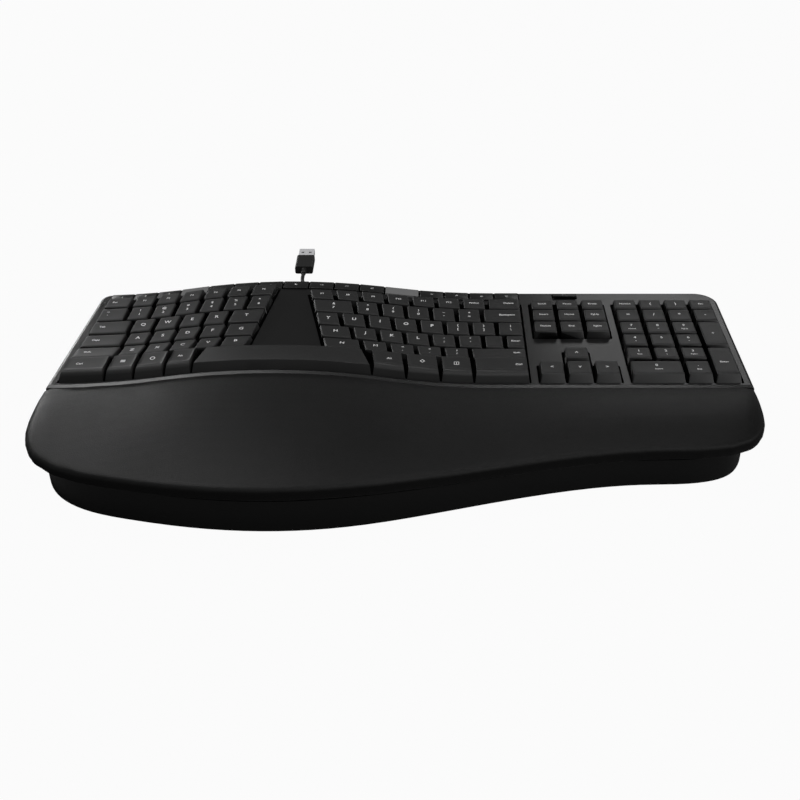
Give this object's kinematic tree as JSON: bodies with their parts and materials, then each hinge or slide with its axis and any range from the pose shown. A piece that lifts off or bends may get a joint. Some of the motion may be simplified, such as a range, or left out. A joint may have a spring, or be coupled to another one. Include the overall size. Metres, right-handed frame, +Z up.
{
  "type": "ergonomic keyboard",
  "caption": "Wired ergonomic keyboard with a humped deck, keys split into two fanned halves, a number pad, a shortcut strip and a deep cushioned palm rest.",
  "frame": {"origin": "on the desk, under the middle of the keyboard's outline; the cable and plug behind it don't count", "axes": "+X towards the typist's right, +Y away from the typist, +Z up"},
  "size_m": [0.4594, 0.3385, 0.038],
  "materials": {
    "deck_plastic": "satin",
    "case_plastic": "matte",
    "key_plastic": "matte",
    "gloss_plastic": "gloss",
    "window_plastic": "gloss",
    "cushion": "soft matte",
    "guide_plastic": "matte",
    "silicone": "matte",
    "film": "gloss",
    "steel": "satin",
    "board": "gloss",
    "rubber": "matte",
    "cord_jacket": "satin"
  },
  "bodies": {
    "housing": {"bottom_case": "case_plastic", "top_case": "deck_plastic", "palm_rest_pad": "cushion", "palm_rest_carrier": "gloss_plastic", "key_guide_frame": "guide_plastic", "rubber_dome_sheet": "silicone", "membrane_sheet": "film", "backing_plate": "steel", "controller_board": "board", "rubber_feet": "rubber", "case_screws": "steel", "cable_strain_relief": "rubber", "cable_exit_lead": "cord_jacket", "cable_hank": "cord_jacket", "cable_plug_lead": "cord_jacket", "cable_tie": "rubber", "plug_overmould": "cord_jacket", "plug_shell": "steel", "plug_tongue": "guide_plastic", "tilt_leg_pins": "steel", "indicator_windows": "window_plastic"},
    "function_keys_left_body": {"function_keys_left": "key_plastic"},
    "number_keys_left_body": {"number_keys_left": "key_plastic"},
    "upper_letter_keys_left_body": {"upper_letter_keys_left": "key_plastic"},
    "home_letter_keys_left_body": {"home_letter_keys_left": "key_plastic"},
    "lower_letter_keys_left_body": {"lower_letter_keys_left": "key_plastic"},
    "tab_key_body": {"tab_key": "key_plastic"},
    "caps_lock_key_body": {"caps_lock_key": "key_plastic"},
    "left_shift_key_body": {"left_shift_key": "key_plastic"},
    "modifier_keys_left_body": {"modifier_keys_left": "key_plastic"},
    "space_bar_body": {"space_bar": "key_plastic"},
    "function_keys_right_body": {"function_keys_right": "key_plastic"},
    "number_keys_right_body": {"number_keys_right": "key_plastic"},
    "backspace_key_body": {"backspace_key": "key_plastic"},
    "upper_letter_keys_right_body": {"upper_letter_keys_right": "key_plastic"},
    "home_letter_keys_right_body": {"home_letter_keys_right": "key_plastic"},
    "enter_key_body": {"enter_key": "key_plastic"},
    "lower_letter_keys_right_body": {"lower_letter_keys_right": "key_plastic"},
    "right_shift_key_body": {"right_shift_key": "key_plastic"},
    "modifier_keys_right_body": {"modifier_keys_right": "key_plastic"},
    "navigation_keys_body": {"navigation_keys": "key_plastic"},
    "up_arrow_key_body": {"up_arrow_key": "key_plastic"},
    "down_arrow_key_body": {"down_arrow_key": "key_plastic"},
    "left_arrow_key_body": {"left_arrow_key": "key_plastic"},
    "right_arrow_key_body": {"right_arrow_key": "key_plastic"},
    "calculator_button_body": {"calculator_button": "key_plastic"},
    "numpad_number_keys_body": {"numpad_number_keys": "key_plastic"},
    "numpad_zero_key_body": {"numpad_zero_key": "key_plastic"},
    "numpad_enter_key_body": {"numpad_enter_key": "key_plastic"},
    "numpad_plus_key_body": {"numpad_plus_key": "key_plastic"},
    "numpad_operator_keys_body": {"numpad_operator_keys": "key_plastic"},
    "favourite_buttons_body": {"favourite_buttons": "gloss_plastic"},
    "media_buttons_body": {"media_buttons": "gloss_plastic"},
    "shortcut_buttons_body": {"shortcut_buttons": "gloss_plastic"},
    "tilt_leg_left_body": {"tilt_leg_left": "case_plastic", "tilt_leg_tip_left": "rubber"},
    "tilt_leg_right_body": {"tilt_leg_right": "case_plastic", "tilt_leg_tip_right": "rubber"}
  },
  "joints": [
    {"name": "function_keys_left_press", "type": "slide", "parent": "housing", "child": "function_keys_left_body", "axis": [0, -0.0698, -0.9976], "range_m": [0, 0.002], "stiffness_N_per_m": 1750, "springref_m": -0.002, "deforming": ["rubber_dome_sheet"]},
    {"name": "number_keys_left_press", "type": "slide", "parent": "housing", "child": "number_keys_left_body", "axis": [0, -0.0698, -0.9976], "range_m": [0, 0.002], "stiffness_N_per_m": 1750, "springref_m": -0.002},
    {"name": "upper_letter_keys_left_press", "type": "slide", "parent": "housing", "child": "upper_letter_keys_left_body", "axis": [0, -0.0698, -0.9976], "range_m": [0, 0.002], "stiffness_N_per_m": 1250, "springref_m": -0.002},
    {"name": "home_letter_keys_left_press", "type": "slide", "parent": "housing", "child": "home_letter_keys_left_body", "axis": [0, -0.0698, -0.9976], "range_m": [0, 0.002], "stiffness_N_per_m": 1250, "springref_m": -0.002},
    {"name": "lower_letter_keys_left_press", "type": "slide", "parent": "housing", "child": "lower_letter_keys_left_body", "axis": [0, -0.0698, -0.9976], "range_m": [0, 0.002], "stiffness_N_per_m": 1250, "springref_m": -0.002},
    {"name": "tab_key_press", "type": "slide", "parent": "housing", "child": "tab_key_body", "axis": [0, -0.0698, -0.9976], "range_m": [0, 0.002], "stiffness_N_per_m": 250, "springref_m": -0.002},
    {"name": "caps_lock_key_press", "type": "slide", "parent": "housing", "child": "caps_lock_key_body", "axis": [0, -0.0698, -0.9976], "range_m": [0, 0.002], "stiffness_N_per_m": 250, "springref_m": -0.002},
    {"name": "left_shift_key_press", "type": "slide", "parent": "housing", "child": "left_shift_key_body", "axis": [0, -0.0698, -0.9976], "range_m": [0, 0.002], "stiffness_N_per_m": 250, "springref_m": -0.002},
    {"name": "modifier_keys_left_press", "type": "slide", "parent": "housing", "child": "modifier_keys_left_body", "axis": [0, -0.0698, -0.9976], "range_m": [0, 0.002], "stiffness_N_per_m": 1000, "springref_m": -0.002},
    {"name": "space_bar_press", "type": "slide", "parent": "housing", "child": "space_bar_body", "axis": [0, -0.0698, -0.9976], "range_m": [0, 0.002], "stiffness_N_per_m": 500, "springref_m": -0.002},
    {"name": "function_keys_right_press", "type": "slide", "parent": "housing", "child": "function_keys_right_body", "axis": [0, -0.0698, -0.9976], "range_m": [0, 0.002], "stiffness_N_per_m": 2000, "springref_m": -0.002},
    {"name": "number_keys_right_press", "type": "slide", "parent": "housing", "child": "number_keys_right_body", "axis": [0, -0.0698, -0.9976], "range_m": [0, 0.002], "stiffness_N_per_m": 1500, "springref_m": -0.002},
    {"name": "backspace_key_press", "type": "slide", "parent": "housing", "child": "backspace_key_body", "axis": [0, -0.0698, -0.9976], "range_m": [0, 0.002], "stiffness_N_per_m": 250, "springref_m": -0.002},
    {"name": "upper_letter_keys_right_press", "type": "slide", "parent": "housing", "child": "upper_letter_keys_right_body", "axis": [0, -0.0698, -0.9976], "range_m": [0, 0.002], "stiffness_N_per_m": 2000, "springref_m": -0.002},
    {"name": "home_letter_keys_right_press", "type": "slide", "parent": "housing", "child": "home_letter_keys_right_body", "axis": [0, -0.0698, -0.9976], "range_m": [0, 0.002], "stiffness_N_per_m": 1750, "springref_m": -0.002},
    {"name": "enter_key_press", "type": "slide", "parent": "housing", "child": "enter_key_body", "axis": [0, -0.0698, -0.9976], "range_m": [0, 0.002], "stiffness_N_per_m": 250, "springref_m": -0.002},
    {"name": "lower_letter_keys_right_press", "type": "slide", "parent": "housing", "child": "lower_letter_keys_right_body", "axis": [0, -0.0698, -0.9976], "range_m": [0, 0.002], "stiffness_N_per_m": 1250, "springref_m": -0.002},
    {"name": "right_shift_key_press", "type": "slide", "parent": "housing", "child": "right_shift_key_body", "axis": [0, -0.0698, -0.9976], "range_m": [0, 0.002], "stiffness_N_per_m": 250, "springref_m": -0.002},
    {"name": "modifier_keys_right_press", "type": "slide", "parent": "housing", "child": "modifier_keys_right_body", "axis": [0, -0.0698, -0.9976], "range_m": [0, 0.002], "stiffness_N_per_m": 1000, "springref_m": -0.002},
    {"name": "navigation_keys_press", "type": "slide", "parent": "housing", "child": "navigation_keys_body", "axis": [0, -0.0698, -0.9976], "range_m": [0, 0.002], "stiffness_N_per_m": 2250, "springref_m": -0.002},
    {"name": "up_arrow_key_press", "type": "slide", "parent": "housing", "child": "up_arrow_key_body", "axis": [0, -0.0698, -0.9976], "range_m": [0, 0.002], "stiffness_N_per_m": 250, "springref_m": -0.002},
    {"name": "down_arrow_key_press", "type": "slide", "parent": "housing", "child": "down_arrow_key_body", "axis": [0, -0.0698, -0.9976], "range_m": [0, 0.002], "stiffness_N_per_m": 250, "springref_m": -0.002},
    {"name": "left_arrow_key_press", "type": "slide", "parent": "housing", "child": "left_arrow_key_body", "axis": [0, -0.0698, -0.9976], "range_m": [0, 0.002], "stiffness_N_per_m": 250, "springref_m": -0.002},
    {"name": "right_arrow_key_press", "type": "slide", "parent": "housing", "child": "right_arrow_key_body", "axis": [0, -0.0698, -0.9976], "range_m": [0, 0.002], "stiffness_N_per_m": 250, "springref_m": -0.002},
    {"name": "calculator_button_press", "type": "slide", "parent": "housing", "child": "calculator_button_body", "axis": [0, -0.0698, -0.9976], "range_m": [0, 0.0008], "stiffness_N_per_m": 250, "springref_m": -0.0008},
    {"name": "numpad_number_keys_press", "type": "slide", "parent": "housing", "child": "numpad_number_keys_body", "axis": [0, -0.0698, -0.9976], "range_m": [0, 0.002], "stiffness_N_per_m": 2500, "springref_m": -0.002},
    {"name": "numpad_zero_key_press", "type": "slide", "parent": "housing", "child": "numpad_zero_key_body", "axis": [0, -0.0698, -0.9976], "range_m": [0, 0.002], "stiffness_N_per_m": 250, "springref_m": -0.002},
    {"name": "numpad_enter_key_press", "type": "slide", "parent": "housing", "child": "numpad_enter_key_body", "axis": [0, -0.0698, -0.9976], "range_m": [0, 0.002], "stiffness_N_per_m": 250, "springref_m": -0.002},
    {"name": "numpad_plus_key_press", "type": "slide", "parent": "housing", "child": "numpad_plus_key_body", "axis": [0, -0.0698, -0.9976], "range_m": [0, 0.002], "stiffness_N_per_m": 250, "springref_m": -0.002},
    {"name": "numpad_operator_keys_press", "type": "slide", "parent": "housing", "child": "numpad_operator_keys_body", "axis": [0, -0.0698, -0.9976], "range_m": [0, 0.002], "stiffness_N_per_m": 2000, "springref_m": -0.002},
    {"name": "favourite_buttons_press", "type": "slide", "parent": "housing", "child": "favourite_buttons_body", "axis": [0, -0.0698, -0.9976], "range_m": [0, 0.0008], "stiffness_N_per_m": 750, "springref_m": -0.0008},
    {"name": "media_buttons_press", "type": "slide", "parent": "housing", "child": "media_buttons_body", "axis": [0, -0.0698, -0.9976], "range_m": [0, 0.0008], "stiffness_N_per_m": 1750, "springref_m": -0.0008},
    {"name": "shortcut_buttons_press", "type": "slide", "parent": "housing", "child": "shortcut_buttons_body", "axis": [0, -0.0698, -0.9976], "range_m": [0, 0.0008], "stiffness_N_per_m": 1000, "springref_m": -0.0008},
    {"name": "tilt_leg_left_hinge", "type": "hinge", "parent": "housing", "child": "tilt_leg_left_body", "pos_m": [-0.15, -0.076, 0.0052], "axis": [-1, 0, 0], "range_deg": [0, 95]},
    {"name": "tilt_leg_right_hinge", "type": "hinge", "parent": "housing", "child": "tilt_leg_right_body", "pos_m": [0.15, -0.076, 0.0052], "axis": [-1, 0, 0], "range_deg": [0, 95]}
  ]
}
